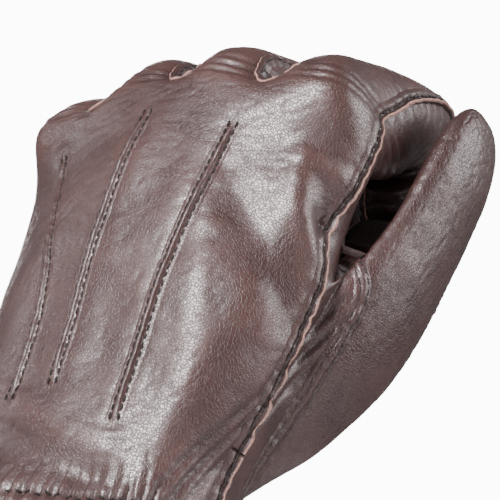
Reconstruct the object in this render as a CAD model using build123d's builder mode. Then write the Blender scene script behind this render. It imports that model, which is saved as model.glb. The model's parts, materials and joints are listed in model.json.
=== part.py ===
"""A left leather dress glove for touchscreens, in the shape it takes on a loosely closed fist.

Frame: the cuff's hem lies in the XY plane and the hand rises along +Z. The back of the hand faces -Y,
the palm faces +Y and the thumb is on the +X side. The origin is the middle of the wrist opening.
Every finger stall is straight between its knuckles, bends about an axis along X, and is cut square on
its back and along the half-angle on its palm side, so that it can straighten without touching the next.
"""

import os
from math import radians, tan

from build123d import *

os.makedirs("parts", exist_ok=True)

# Leather, lining and clearances
leather = 1.0
lining = 0.8
bond_gap = 0.1  # between two pieces sewn to each other
run_gap = 0.4  # between two pieces that turn against each other
lining_inset = 2.0  # from the leather's outer face to the lining's, which leaves room for the elastic
stall_lining_inset = leather + bond_gap

# Fist
row_bend = 60.0  # of the proximal stalls against the back of the hand
middle_bend = 100.0  # of the middle stalls against the proximal ones
tip_bend = 60.0  # of the tip stalls against the middle ones
knuckle_height = 150.0  # of the knuckle row's axis above the hem

# Fingers, from the thumb's side to the little finger's
finger_pitch = 21.5
fingers = {
    "index": {"place": 1.5, "width": 20.5, "depth": 20.0, "proximal": 41.0, "middle": 25.0, "tip": 23.0},
    "middle": {"place": 0.5, "width": 20.5, "depth": 21.0, "proximal": 44.0, "middle": 28.0, "tip": 24.0},
    "ring": {"place": -0.5, "width": 20.0, "depth": 20.0, "proximal": 41.0, "middle": 26.0, "tip": 24.0},
    "little": {"place": -1.5, "width": 18.5, "depth": 18.0, "proximal": 34.0, "middle": 21.0, "tip": 21.0},
}
middle_taper = 2.0  # a middle stall is this much narrower and shallower than the proximal one
tip_taper = 3.5
stall_corner = 0.36  # corner radius of a stall, as a share of its depth
seam_drop = 4.0  # from the back and palm faces of a stall to its seams
seam_inset = 2.5  # from the side of a stall to the seam round its tip
web_length = 14.0  # from the knuckle axis to the crotch between two fingers

# Hand and cuff, from the hem up: height, width, back face, palm face, corner radius
hand_sections = [
    (0.0, 80.0, -25.0, 25.0, 22.0),
    (26.0, 71.0, -22.0, 22.0, 19.0),
    (56.0, 63.0, -19.0, 19.0, 16.0),
    (82.0, 74.0, -17.0, 18.0, 14.0),
    (116.0, 3 * finger_pitch + 20.5, -14.5, 16.0, 12.0),
    (knuckle_height, 3 * finger_pitch + 22.0, -11.0, 14.0, 10.0),
]
side_seam_y = 0.0  # the seams between the back panel and the palm panel
hem_depth = 14.0
elastic_height = 46.0
elastic_width = 10.0
elastic_thickness = 0.8

# Three raised points on the back: foot and top of each, and their section
point_foot_pitch = 12.0
point_foot_height = 62.0
point_top_height = knuckle_height - 8.0
point_width = 2.6
point_rise = 0.9
thread_rise = 0.5
thread_width = 0.8

# Thumb: its pivot beside the palm, and its last knuckle beside the index finger
thumb_pivot = Vector(31.4, 28.4, 70.0)
thumb_knuckle = Vector(1.5 * finger_pitch + 20.95, 28.0, knuckle_height - 9.0)
thumb_width = 22.0
thumb_depth = 17.5
thumb_ball = 13.0  # outer radius of the round base
thumb_tip_length = 33.0
thumb_bend = 18.0
thumb_opening = 8.0  # radius of the way into the thumb
pad_length = 12.0  # touch pads on the index finger and thumb
pad_width = 10.0
pad_rise = 0.4
tip_round = 0.4  # radius round a stall's closed end, as a share of its smaller side


def save(part, name):
    part.label = name
    export_step(part, f"parts/{name}.step")


def bar(plane, length, width, depth, cap=0.0):
    """A straight rounded bar from the plane, with its far end rounded by cap."""
    with BuildPart() as solid:
        with BuildSketch(plane):
            RectangleRounded(width, depth, stall_corner * depth)
        extrude(amount=length)
        if cap:
            fillet(solid.edges().group_by(Axis(plane.origin, plane.z_dir))[-1], cap)
    return solid.part


def stall_shell(plane, length, width, depth, inset, wall, closed):
    """A stall's tube with its outer face set in by inset, closed at the tip or open."""
    cap = tip_round * min(width, depth) if closed else 0.0
    end = inset if closed else 0.0
    outer = bar(plane, length - end, width - 2 * inset, depth - 2 * inset, max(cap - inset, 0.0))
    hole = inset + wall
    end = hole if closed else 0.0
    inner = bar(plane, length - end, width - 2 * hole, depth - 2 * hole, max(cap - hole, 0.0))
    with BuildPart() as shell:
        add(outer)
        add(inner, mode=Mode.SUBTRACT)
    return shell.part


def side_outline(plane, length, depth, width, start_bend, end_bend, closed):
    """The stall's side view, square on the back and along half of each bend on the palm side."""
    side = Plane(origin=plane.origin, x_dir=plane.z_dir, z_dir=plane.x_dir)
    reach = depth / 2 + leather
    start = run_gap / 2
    end = length + leather if closed else length - run_gap / 2
    start_cut = reach * tan(radians(start_bend / 2))
    end_cut = 0.0 if closed else reach * tan(radians(end_bend / 2))
    with BuildPart() as outline:
        with BuildSketch(side):
            with BuildLine():
                Polyline(
                    (start, reach), (start, 0), (start + start_cut, -reach),
                    (end - end_cut, -reach), (end, 0), (end, reach), close=True,
                )
            make_face()
        extrude(amount=width, both=True)
    return outline.part


def seam_masks(plane, length, width, depth, plain_side):
    """Three long prisms that part a stall into its back, its palm side and its fourchettes.
    plain_side is +1 or -1 where the palm leather covers that side, and 0 where both have fourchettes."""
    seam = depth / 2 - seam_drop
    stem = width / 2 - seam_inset
    reach = depth
    with BuildPart() as back:
        with BuildSketch(plane):
            with Locations((0, -(seam + reach) / 2)):
                Rectangle(2 * width, reach - seam)
            with Locations((0, -seam / 2)):
                Rectangle(2 * stem, seam)
        extrude(amount=length + leather)
    with BuildPart() as palm:
        with BuildSketch(plane):
            with Locations((0, (seam + reach) / 2)):
                Rectangle(2 * width, reach - seam)
            with Locations((0, seam / 2)):
                Rectangle(2 * stem, seam)
            if plain_side:
                with Locations((plain_side * (stem + width) / 2, 0)):
                    Rectangle(width - stem, 2 * seam)
        extrude(amount=length + leather)
    with BuildPart() as sides:
        with BuildSketch(plane):
            for side in (-1, 1):
                if side != plain_side:
                    with Locations((side * (stem + width) / 2, 0)):
                        Rectangle(width - stem, 2 * seam)
        extrude(amount=length + leather)
    return {"back": back.part, "palm": palm.part, "fourchette": sides.part}


def half_ring(width, depth):
    """The back half of a rounded ring one leather thick, in the sketch that is open."""
    corner = stall_corner * depth
    RectangleRounded(width, depth, corner)
    RectangleRounded(width - 2 * leather, depth - 2 * leather, corner - leather, mode=Mode.SUBTRACT)
    with Locations((0, -depth / 2)):
        Rectangle(width, depth, mode=Mode.INTERSECT)


def dome(end, child_width, child_depth, bend):
    """The dome round a knuckle that the next stall slides over as it straightens."""
    width = child_width - 2 * (leather + run_gap)
    depth = child_depth - 2 * (leather + run_gap)
    with BuildPart() as shell:
        with BuildSketch(end):
            half_ring(width, depth)
        extrude(amount=-run_gap)
        with BuildSketch(end):
            half_ring(width, depth)
        revolve(axis=Axis(end.origin, -end.x_dir), revolution_arc=bend)
    return shell.part


def knuckle_cap(plane, length, width, depth, child_width, child_depth, bend):
    """A stall's dome with the flange that carries it."""
    end = plane.offset(length)
    inside = (child_width - 2 * (2 * leather + run_gap), child_depth - 2 * (2 * leather + run_gap))
    with BuildPart() as flange:
        with BuildSketch(end.offset(-leather)):
            RectangleRounded(width - 2 * leather, depth - 2 * leather, stall_corner * (depth - 2 * leather))
            RectangleRounded(*inside, stall_corner * inside[1], mode=Mode.SUBTRACT)
            with Locations((0, -depth / 2)):
                Rectangle(width, depth, mode=Mode.INTERSECT)
        extrude(amount=leather - run_gap / 2)
    return joined(flange.part, dome(end, child_width, child_depth, bend))


def stall_pieces(plane, length, width, depth, start_bend, end_bend=0.0, closed=False, plain_side=0):
    """The back, palm and fourchette leather of one stall, as separate solids."""
    shell = stall_shell(plane, length, width, depth, 0.0, leather, closed)
    outline = side_outline(plane, length, depth, width, start_bend, end_bend, closed)
    pieces = {}
    for name, mask in seam_masks(plane, length, width, depth, plain_side).items():
        with BuildPart() as piece:
            add(shell)
            add(outline, mode=Mode.INTERSECT)
            add(mask, mode=Mode.INTERSECT)
        pieces[name] = piece.part
    return pieces


def stall_lining(plane, length, width, depth, start_bend, end_bend=0.0, closed=False):
    """The lining of one stall, clear of the domes at both its ends."""
    start = depth / 2 * max(1.0, tan(radians(start_bend / 2)))
    end = length if closed else length - depth / 2 * tan(radians(end_bend / 2)) - 2 * leather
    return stall_shell(plane.offset(start), end - start, width, depth, stall_lining_inset, lining, closed)


def joined(base, *others):
    with BuildPart() as whole:
        add(base)
        for other in others:
            add(other)
    return whole.part


def turned(plane, length, bend):
    """The plane of the next stall, at the end of this one and bent towards the palm."""
    end = plane.offset(length)
    direction = end.z_dir.rotate(Axis((0, 0, 0), -end.x_dir), bend)
    return Plane(origin=end.origin, x_dir=end.x_dir, z_dir=direction)


def hand_solid(inset):
    """The hand and cuff as one solid, set in from the leather's outer face by inset."""
    with BuildPart() as solid:
        for height, width, back, palm, corner in hand_sections:
            with BuildSketch(Plane.XY.offset(height)):
                with Locations((0, (back + palm) / 2)):
                    RectangleRounded(width - 2 * inset, palm - back - 2 * inset, corner - inset)
        loft()
    return solid.part


def hand_shell(outer_inset, inner_inset):
    with BuildPart() as shell:
        add(hand_solid(outer_inset))
        add(hand_solid(inner_inset), mode=Mode.SUBTRACT)
    return shell.part


def block(x, y, z):
    """A box given by its low and high value along each axis."""
    with BuildPart() as solid:
        with Locations(((x[0] + x[1]) / 2, (y[0] + y[1]) / 2, (z[0] + z[1]) / 2)):
            Box(x[1] - x[0], y[1] - y[0], z[1] - z[0])
    return solid.part


def cut_out(shape, *tools):
    with BuildPart() as left:
        add(shape)
        for tool in tools:
            add(tool, mode=Mode.SUBTRACT)
    return left.part


def common(shape, *tools):
    with BuildPart() as left:
        add(shape)
        for tool in tools:
            add(tool, mode=Mode.INTERSECT)
    return left.part


# The proximal stalls' planes, all on the knuckle row's axis
hand_plane = {
    name: Plane(origin=(size["place"] * finger_pitch, 0, knuckle_height), x_dir=(1, 0, 0), z_dir=(0, 0, 1))
    for name, size in fingers.items()
}
row_plane = {name: turned(plane, 0.0, row_bend) for name, plane in hand_plane.items()}

# Hand: the leather's shell, cut along the knuckle row
half_width = hand_sections[0][1] / 2
hand_outline = side_outline(
    Plane(origin=(0, 0, -leather), x_dir=(1, 0, 0), z_dir=(0, 0, 1)),
    knuckle_height + leather, 2 * half_width, 2 * half_width, 0.0, row_bend, False,
)
leather_shell = common(hand_shell(0.0, leather), hand_outline)
far = 2 * half_width
thumb_line = (thumb_knuckle - thumb_pivot).normalized()
with BuildPart() as thumb_way:
    way_in = Vector(-thumb_pivot.X, -thumb_pivot.Y, 0).normalized()
    with BuildSketch(Plane(origin=thumb_pivot, z_dir=way_in)):
        Circle(thumb_opening)
    extrude(amount=thumb_pivot.Y)

back_half = block((-far, far), (-far, side_seam_y), (-far, 2 * knuckle_height))
palm_half = block((-far, far), (side_seam_y, far), (-far, 2 * knuckle_height))

domes = [dome(hand_plane[name], size["width"], size["depth"], row_bend) for name, size in fingers.items()]

top_height, top_width, top_back, top_palm, top_corner = hand_sections[-1]
with BuildPart() as flange:
    with BuildSketch(Plane.XY.offset(knuckle_height - leather)):
        with Locations((0, (top_back + top_palm) / 2)):
            RectangleRounded(top_width - leather, top_palm - top_back - leather, top_corner - leather / 2)
        with Locations((0, top_back)):
            Rectangle(top_width, 2 * (side_seam_y - top_back), mode=Mode.INTERSECT)
        for size in fingers.values():
            inside = [size[side] - 2 * (2 * leather + run_gap) for side in ("width", "depth")]
            with Locations((size["place"] * finger_pitch, 0)):
                RectangleRounded(*inside, stall_corner * inside[1], mode=Mode.SUBTRACT)
    extrude(amount=leather - run_gap / 2)

save(joined(common(leather_shell, back_half), flange.part, *domes), "back_panel")
save(cut_out(common(leather_shell, palm_half), thumb_way.part), "palm_panel")

lining_top = knuckle_height - 3 * leather
lining_outline = side_outline(
    Plane(origin=(0, 0, hem_depth + bond_gap - run_gap / 2), x_dir=(1, 0, 0), z_dir=(0, 0, 1)),
    lining_top - hem_depth, 2 * half_width, 2 * half_width, 0.0, row_bend, False,
)
save(
    cut_out(common(hand_shell(lining_inset, lining_inset + lining), lining_outline), thumb_way.part),
    "hand_lining",
)
save(
    common(
        hand_shell(leather + bond_gap, 2 * leather + bond_gap),
        block((-far, far), (-far, far), (0, hem_depth)),
    ),
    "cuff_hem",
)
save(
    common(
        hand_shell(leather + bond_gap, leather + bond_gap + elastic_thickness),
        block((-far, far), (-far, side_seam_y),
              (elastic_height - elastic_width / 2, elastic_height + elastic_width / 2)),
    ),
    "wrist_elastic",
)

# Points and threads lie on the leather's outer face
ridge_shell = hand_shell(-point_rise, 0.0)
thread_shell = hand_shell(-thread_rise, 0.0)
for number, name in ((1, "index"), (0, "middle"), (-1, "ring")):
    foot = (number * point_foot_pitch, point_foot_height)
    top = (number * finger_pitch, point_top_height)
    with BuildPart() as strip:
        with BuildSketch(Plane.XZ):
            with BuildLine():
                spine = Line(foot, top)
            SlotCenterToCenter(spine.length, point_width, rotation=0, mode=Mode.PRIVATE)
            with Locations(Location(((foot[0] + top[0]) / 2, (foot[1] + top[1]) / 2, 0),
                                    (0, 0, spine.tangent_angle_at(0.5)))):
                SlotOverall(spine.length, point_width)
        extrude(amount=far)
    save(common(ridge_shell, strip.part), f"point_{name}")

save(
    common(thread_shell, block((0, far), (side_seam_y - 1.5 - thread_width, side_seam_y - 1.5),
                               (hem_depth, knuckle_height - 2 * leather))),
    "side_seam_thread",
)
save(
    common(thread_shell, block((-far, far), (-far, side_seam_y - 4),
                               (elastic_height - thread_width / 2, elastic_height + thread_width / 2))),
    "wrist_gather_thread",
)

# Knuckle row: the four proximal stalls, sewn to each other as far as the crotches
row_pieces = {}
row_linings = []
for name, size in fingers.items():
    plane = row_plane[name]
    plain_side = {"index": 1, "little": -1}.get(name, 0)
    child_width, child_depth = size["width"] - middle_taper, size["depth"] - middle_taper
    pieces = stall_pieces(plane, size["proximal"], size["width"], size["depth"], row_bend, middle_bend,
                          plain_side=plain_side)
    cap = knuckle_cap(plane, size["proximal"], size["width"], size["depth"], child_width, child_depth,
                        middle_bend)
    pieces["back"] = joined(pieces["back"], cap)
    row_pieces[name] = pieces
    row_linings.append(
        stall_lining(plane, size["proximal"], size["width"], size["depth"], row_bend, middle_bend)
    )

names = list(fingers)
row_webs = {"back": [], "palm": []}
for first, second in zip(names, names[1:]):
    edge_a = (fingers[first]["place"]) * finger_pitch - fingers[first]["width"] / 2
    edge_b = (fingers[second]["place"]) * finger_pitch + fingers[second]["width"] / 2
    depth = max(fingers[first]["depth"], fingers[second]["depth"])
    level = depth / 2 - seam_drop
    crotch_depth = min(fingers[first]["depth"], fingers[second]["depth"]) - 2 * seam_drop - run_gap
    plane = row_plane[first]
    middle = (edge_a + edge_b) / 2 - plane.origin.X
    span = edge_a - edge_b + 3 * leather
    for side, sign in (("back", -1), ("palm", 1)):
        start = run_gap if sign < 0 else (depth / 2 + leather) * tan(radians(row_bend / 2)) + run_gap
        with BuildPart() as web:
            with BuildSketch(plane.offset(start)):
                with Locations((middle, sign * (level + leather / 2))):
                    Rectangle(span, leather)
            extrude(amount=web_length - start)
        row_webs[side].append(web.part)
    with BuildPart() as crotch:
        with BuildSketch(plane.offset(web_length - leather)):
            with Locations((middle, 0)):
                Rectangle(edge_a - edge_b + leather, crotch_depth)
        extrude(amount=leather)
    fork_half = block((edge_b - 3 * leather, edge_a + 3 * leather), (-far, far), (0, 2 * knuckle_height))
    fork = joined(row_pieces[first]["fourchette"], row_pieces[second]["fourchette"], crotch.part)
    save(common(fork, fork_half), f"fourchette_{first}_{second}")

save(joined(*(row_pieces[n]["back"] for n in names), *row_webs["back"]), "knuckle_back")
save(joined(*(row_pieces[n]["palm"] for n in names), *row_webs["palm"]), "knuckle_palm")
save(Compound(children=[solid for part in row_linings for solid in part.solids()]), "knuckle_lining")

# Middle and tip stalls of each finger
tip_plane = {}
for name, size in fingers.items():
    plain_side = {"index": 1, "little": -1}.get(name, 0)
    plane = turned(row_plane[name], size["proximal"], middle_bend)
    width, depth = size["width"] - middle_taper, size["depth"] - middle_taper
    tip_width, tip_depth = size["width"] - tip_taper, size["depth"] - tip_taper
    pieces = stall_pieces(plane, size["middle"], width, depth, middle_bend, tip_bend, plain_side=plain_side)
    cap = knuckle_cap(plane, size["middle"], width, depth, tip_width, tip_depth, tip_bend)
    save(joined(pieces["back"], cap), f"{name}_back_middle")
    save(pieces["palm"], f"{name}_palm_middle")
    save(pieces["fourchette"], f"{name}_fourchette_middle")
    save(stall_lining(plane, size["middle"], width, depth, middle_bend, tip_bend), f"{name}_lining_middle")

    plane = turned(plane, size["middle"], tip_bend)
    tip_plane[name] = plane
    pieces = stall_pieces(plane, size["tip"], tip_width, tip_depth, tip_bend, closed=True,
                          plain_side=plain_side)
    save(pieces["back"], f"{name}_back_tip")
    save(pieces["palm"], f"{name}_palm_tip")
    save(pieces["fourchette"], f"{name}_fourchette_tip")
    tip_lining = stall_lining(plane, size["tip"], tip_width, tip_depth, tip_bend, closed=True)
    save(tip_lining, f"{name}_lining_tip")


def touch_pad(plane, length, width, depth):
    """A thin pad laid over the palm side of a stall's tip."""
    with BuildPart() as window:
        with BuildSketch(plane.offset(length - pad_length - leather)):
            with Locations((0, depth / 2)):
                Rectangle(pad_width, depth)
        extrude(amount=pad_length)
    return common(stall_shell(plane, length, width, depth, -pad_rise, pad_rise, True), window.part)


index_size = fingers["index"]
save(
    touch_pad(tip_plane["index"], index_size["tip"], index_size["width"] - tip_taper,
              index_size["depth"] - tip_taper),
    "index_touch_pad",
)

# Thumb: a ball at its base, a straight stall to its last knuckle, and its tip
towards_index = Vector(-1, 0, 0)
hinge = towards_index.cross(thumb_line).normalized()
thumb_plane = Plane(origin=thumb_pivot, x_dir=hinge, z_dir=thumb_line)
thumb_length = (thumb_knuckle - thumb_pivot).length
thumb_tip_width, thumb_tip_depth = thumb_width - middle_taper, thumb_depth - middle_taper


def thumb_solid(inset):
    with BuildPart() as solid:
        add(bar(thumb_plane, thumb_length, thumb_width - 2 * inset, thumb_depth - 2 * inset))
        with Locations(thumb_pivot):
            Sphere(thumb_ball - inset)
    return solid.part


def thumb_half(shape, side):
    with BuildPart() as half:
        add(shape)
        with BuildSketch(thumb_plane.offset(-far)):
            with Locations((0, side * far / 2)):
                Rectangle(2 * far, far)
        extrude(amount=2 * far, mode=Mode.INTERSECT)
    return half.part


thumb_shell = cut_out(thumb_solid(0.0), thumb_solid(leather), thumb_way.part)
thumb_outline = side_outline(thumb_plane.offset(-far / 2), thumb_length + far / 2, thumb_depth, thumb_width,
                             0.0, thumb_bend, False)
thumb_shell = common(thumb_shell, thumb_outline)
thumb_cap = knuckle_cap(thumb_plane, thumb_length, thumb_width, thumb_depth, thumb_tip_width,
                          thumb_tip_depth, thumb_bend)
save(joined(thumb_half(thumb_shell, -1), thumb_cap), "thumb_outer_base")
save(thumb_half(thumb_shell, 1), "thumb_inner_base")
thumb_lining_shell = cut_out(
    thumb_solid(stall_lining_inset), thumb_solid(stall_lining_inset + lining), thumb_way.part
)
lining_stop = side_outline(thumb_plane.offset(-far / 2), thumb_length + far / 2 - 4 * leather, thumb_depth,
                           thumb_width, 0.0, thumb_bend, False)
save(common(thumb_lining_shell, lining_stop), "thumb_lining_base")

thumb_tip_plane = turned(thumb_plane, thumb_length, thumb_bend)
pieces = stall_pieces(thumb_tip_plane, thumb_tip_length, thumb_tip_width, thumb_tip_depth, thumb_bend,
                      closed=True, plain_side=0)
save(joined(pieces["back"], pieces["fourchette"]), "thumb_outer_tip")
save(pieces["palm"], "thumb_inner_tip")
save(
    stall_lining(thumb_tip_plane, thumb_tip_length, thumb_tip_width, thumb_tip_depth, thumb_bend,
                 closed=True),
    "thumb_lining_tip",
)
save(touch_pad(thumb_tip_plane, thumb_tip_length, thumb_tip_width, thumb_tip_depth), "thumb_touch_pad")

print("joints:")
print("knuckle_row", (0, 0, knuckle_height))
for name, size in fingers.items():
    plane = turned(row_plane[name], size["proximal"], middle_bend)
    print(name, "middle", tuple(plane.origin), "tip", tuple(tip_plane[name].origin))
print("thumb", tuple(thumb_pivot), tuple(thumb_knuckle), "hinge", tuple(hinge))
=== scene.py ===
import json
import random
from math import cos, pi, radians, sin, tan

import bmesh
import bpy
import numpy as np
from mathutils import Matrix, Vector, noise
from mathutils.bvhtree import BVHTree


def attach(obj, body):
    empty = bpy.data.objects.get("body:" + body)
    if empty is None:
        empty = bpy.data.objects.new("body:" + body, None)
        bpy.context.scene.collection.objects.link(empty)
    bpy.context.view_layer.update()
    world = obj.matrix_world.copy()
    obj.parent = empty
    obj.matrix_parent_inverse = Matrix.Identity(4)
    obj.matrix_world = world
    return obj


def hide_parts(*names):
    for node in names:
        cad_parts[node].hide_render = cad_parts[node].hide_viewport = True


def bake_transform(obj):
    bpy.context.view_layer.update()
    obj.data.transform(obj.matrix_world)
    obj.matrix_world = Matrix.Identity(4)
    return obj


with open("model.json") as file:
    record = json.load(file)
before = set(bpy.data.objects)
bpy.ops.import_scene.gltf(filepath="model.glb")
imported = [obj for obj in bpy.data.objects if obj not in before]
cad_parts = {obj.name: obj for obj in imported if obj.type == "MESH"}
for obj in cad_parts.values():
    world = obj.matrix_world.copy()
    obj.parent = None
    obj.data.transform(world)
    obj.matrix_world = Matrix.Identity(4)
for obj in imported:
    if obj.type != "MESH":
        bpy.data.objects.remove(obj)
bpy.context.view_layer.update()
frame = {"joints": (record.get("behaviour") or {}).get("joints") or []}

mm = 0.001
joints = {j["name"]: j for j in frame["joints"]}
fingers = ("index", "middle", "ring", "little")


def jointAt(name):
    return Vector(joints[name]["pos_m"]) / mm


print("frame read")

# The glove is one cage of four-sided faces: three rows of vertices (back, side, palm) and nine columns
# from the thumb's side to the little finger's, two columns of faces to a finger. Lengths here are in mm.
hand = {
    # height, half width, back, palm, how far the back falls away at its sides
    "sections": [
        (0.8, 41.0, -26.0, 26.0, 6.0), (7, 39.5, -25.5, 25.5, 6.0), (24, 36.0, -23.5, 23.0, 6.0),
        (42, 32.8, -21.0, 20.5, 6.0), (54, 31.5, -19.5, 19.5, 6.0), (64, 33.0, -19.5, 20.5, 6.5),
        (78, 37.0, -19.5, 22.0, 7.0), (94, 40.5, -19.5, 23.0, 7.5), (110, 42.5, -19.0, 22.0, 8.0),
        (124, 43.0, -17.5, 20.0, 8.0), (137, 43.0, -15.0, 17.5, 7.0),
    ],
    "seam": 2.0,  # how far the side seams lie towards the palm
    "knuckleRise": 1.4,
    "knuckleDip": -0.6,
    "littleSlim": 0.20,  # how much narrower the little finger's side is between the wrist and its knuckle
}
stallWidth = {"index": 21.5, "middle": 21.5, "ring": 21.0, "little": 19.5}
stallDepth = {"index": 21.0, "middle": 22.0, "ring": 21.0, "little": 19.0}
tipLength = {"index": 23.0, "middle": 24.0, "ring": 24.0, "little": 21.0}
fist = {"row": 60.0, "middle": 100.0, "tip": 60.0}
# The index finger's seam climbs from the side of the hand to the top of its stall: height out of its axis
indexSeam = {1: -0.5, 2: 4.8, 3: 8.4, 4: 10.4, 5: 9.4, 6: 8.4, 7: 6.5, 8: 5.0}
seamFoot = {8: (43.6, 1.0, 108), 9: (41.3, 0.6, 121), 10: (46.4, 1.8, 133), 11: (47.2, 2.4, 142),
            12: (46.8, 3.6, 150.5)}  # where the index side's seam passes the hand's rings
crotch = {2: (21.5, -12.6, 154.3), 4: (0.0, -16.6, 155.6), 6: (-21.5, -14.6, 149.8)}  # bottoms of the forks
stallRise = {1: 3.0, 2: 4.2, 3: 4.4, 4: 3.2, 5: 1.8}  # how far the stalls' backs stand up at their rings
# Thumb rings: inner point and outer point as (x, z), depth of the centre, half thickness
thumbRings = [
    ((43, 125), (34, 75), 18.5, 11), ((44.5, 129), (40, 87), 22, 12.5),
    ((45, 134), (46.4, 102), 24, 12.5), ((45.5, 140), (50.6, 119), 26, 12),
    ((46, 147.5), (54, 138), 27.5, 11.5), ((47, 155), (56, 152), 28.5, 11),
    ((48.2, 162.5), (56.8, 162), 29, 10), ((50, 170), (56, 169.5), 29.5, 8),
    ((52, 174.5), (54.5, 173), 30, 4),
]
# Numbers of the skin's parts, kept in its faces: 10 to 13 are the fingers' middle stalls, 20 to 23 their tips
trunk, cuff, thumbBase, thumbTip = 0, 1, 2, 3
cageLayers = ("col", "row", "ring", "limb", "step")
gatherHeight = 46.0  # of the line of gathers over the wrist
knuckle = jointAt("knuckle_row")


def bent(angle):
    a = radians(angle)
    return Vector((0, sin(a), cos(a))), Vector((0, -cos(a), sin(a)))  # along the stall, and out of its back


def archShift(x, z, free):
    x = max(-33.0, min(33.0, x))
    t = 1.0 if free else max(0.0, min(1.0, (z - 85) / 55))
    t = t * t * (3 - 2 * t)
    return t * Vector((0, -4 - 0.06 * x + 0.005 * x * x, 4 + 0.03 * x - 0.0034 * x * x))


def buildCage():
    bm = bmesh.new()
    layers = bm.verts.layers.int
    for label in cageLayers:
        layers.new(label)
    col, row, ring, limb, step = (layers.get(label) for label in cageLayers)
    bmesh.ops.create_grid(bm, x_segments=8, y_segments=2, size=1.0)
    for v in bm.verts:
        v[col] = round((1 - v.co.x) * 4)
        v[row] = round(v.co.y + 1)
    lid = list(bm.faces)
    bottom = set(lid)

    def extrude(faces):
        made = bmesh.ops.extrude_face_region(bm, geom=faces, use_keep_orig=False)
        newFaces = [f for f in made["geom"] if isinstance(f, bmesh.types.BMFace)]
        newVerts = [v for v in made["geom"] if isinstance(v, bmesh.types.BMVert)]
        old = [f for f in faces if f.is_valid]
        if old:
            bmesh.ops.delete(bm, geom=old, context="FACES")
        return newFaces, newVerts

    def placeHand(verts, number, section):
        z, half, back, palm, crown = section
        for v in verts:
            v[ring] = number
            u = 1 - v[col] / 4
            edge = abs(u)
            x = u * half * 0.90
            if u < 0 and 4 < number < 11:
                x *= 1 - hand["littleSlim"] * sin(pi * (number - 4) / 7)
            high = z
            if v[row] == 1:
                y = hand["seam"]
                if edge == 1:
                    x = u * half * 1.04
                    if u == 1 and number in seamFoot:
                        x, y, high = seamFoot[number]
            elif v[row] == 0:
                y = back + crown * edge ** 2
            else:
                y = palm * (1 - 0.30 * edge ** 4)
            v.co = Vector((x, y, high))

    for number, section in enumerate(hand["sections"]):
        if number:
            lid, verts = extrude(lid)
        else:
            verts = list(bm.verts)
        placeHand(verts, number, section)

    # The knuckle row: the cage turns about its axis on the back, and folds on the palm
    centres = [jointAt(name + "_bend").x for name in fingers]
    columnX = []
    for c in range(9):
        if c % 2:
            columnX.append(centres[c // 2])
        elif c == 0:
            columnX.append(centres[0] + stallWidth["index"] / 2)
        elif c == 8:
            columnX.append(centres[3] - stallWidth["little"] / 2)
        else:
            columnX.append((centres[c // 2 - 1] + centres[c // 2]) / 2)

    def placeRow(verts, number, angle, radius, palmBack):
        along, out = bent(angle)
        midAlong, midOut = bent(fist["row"] / 2)
        for v in verts:
            v[ring] = number
            c = v[col]
            x = columnX[c]
            if v[row] == 0:
                spot = knuckle + out * (radius + (hand["knuckleRise"] if c % 2 else -hand["knuckleDip"]))
                if c in (0, 8):
                    spot -= out * (1.0 if c == 0 else 2.0)
            elif v[row] == 1:
                spot = knuckle.copy()
                if number == 12 and c not in (0, 8):
                    spot += bent(fist["row"])[0] * 9
                if c in (0, 8):
                    x *= 1.02
                if c == 0:
                    x, spot.y, spot.z = seamFoot[number]
            else:
                spot = knuckle - midOut * 14.0 - Vector((0, 0, 1)) * palmBack
                if c in (0, 8):
                    spot += midOut * 3
            v.co = Vector((x, spot.y, spot.z))

    lid, verts = extrude(lid)
    placeRow(verts, 11, -12, 13.0, 5.0)
    lid, verts = extrude(lid)
    placeRow(verts, 12, 20, 13.8, 0.0)

    def placeStall(verts, number, limbNumber, centre, along, out, width, depth, slant, x0):
        for v in verts:
            v[ring] = number
            v[limb] = limbNumber
            side = {0: 1, 1: 0, 2: -1}[v[col] - 2 * (limbNumber - 1)]
            w, h = width / 2, depth / 2
            climbs = limbNumber == 1 and side == 1 and number in indexSeam
            if v[row] == 0:
                high = h * (1.12 if side == 0 else 1.08 if climbs else 0.90)
                spot = centre + out * (high + stallRise.get(number, 0.0))
                x = side * w * (0.50 if climbs else 0.80)
            elif v[row] == 1:
                spot = centre + out * (indexSeam[number] if climbs else 0.0)
                x = side * w * (1.06 if climbs and number > 4 else 1.28 if climbs else 1.12)
            else:
                low = h * (1.08 if side == 0 else 1.12 if climbs and number < 4 else 0.88)
                spot = centre - out * low + along * slant
                x = side * w * (0.92 if climbs else 0.80)
            v.co = Vector((x0 + x, spot.y, spot.z))

    starts = [[f for f in lid if all(2 * n <= v[col] <= 2 * n + 2 for v in f.verts)] for n in range(4)]
    for n, name in enumerate(fingers):
        width, depth = stallWidth[name], stallDepth[name]
        pip, dip = jointAt(name + "_bend"), jointAt(name + "_tip_bend")
        x0 = pip.x
        root = Vector((x0, knuckle.y, knuckle.z))
        faces = starts[n]
        number = 0

        def stallRing(centre, angle, w, d, slant=0.0):
            nonlocal faces, number
            number += 1
            faces, verts = extrude(faces)
            along, out = bent(angle)
            placeStall(verts, number, n + 1, centre, along, out, w, d, slant, x0)

        along, out = bent(fist["row"])
        length = (pip - root).length
        stallRing(root + along * 4 + out * 1.5, 48, width * 0.97, depth * 1.06, 2.0)
        stallRing(root + along * 14, fist["row"], width * 0.95, depth, 0.0)
        stallRing(root + along * (length * 0.55), fist["row"], width * 0.94, depth * 0.98, -2.0)

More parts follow.
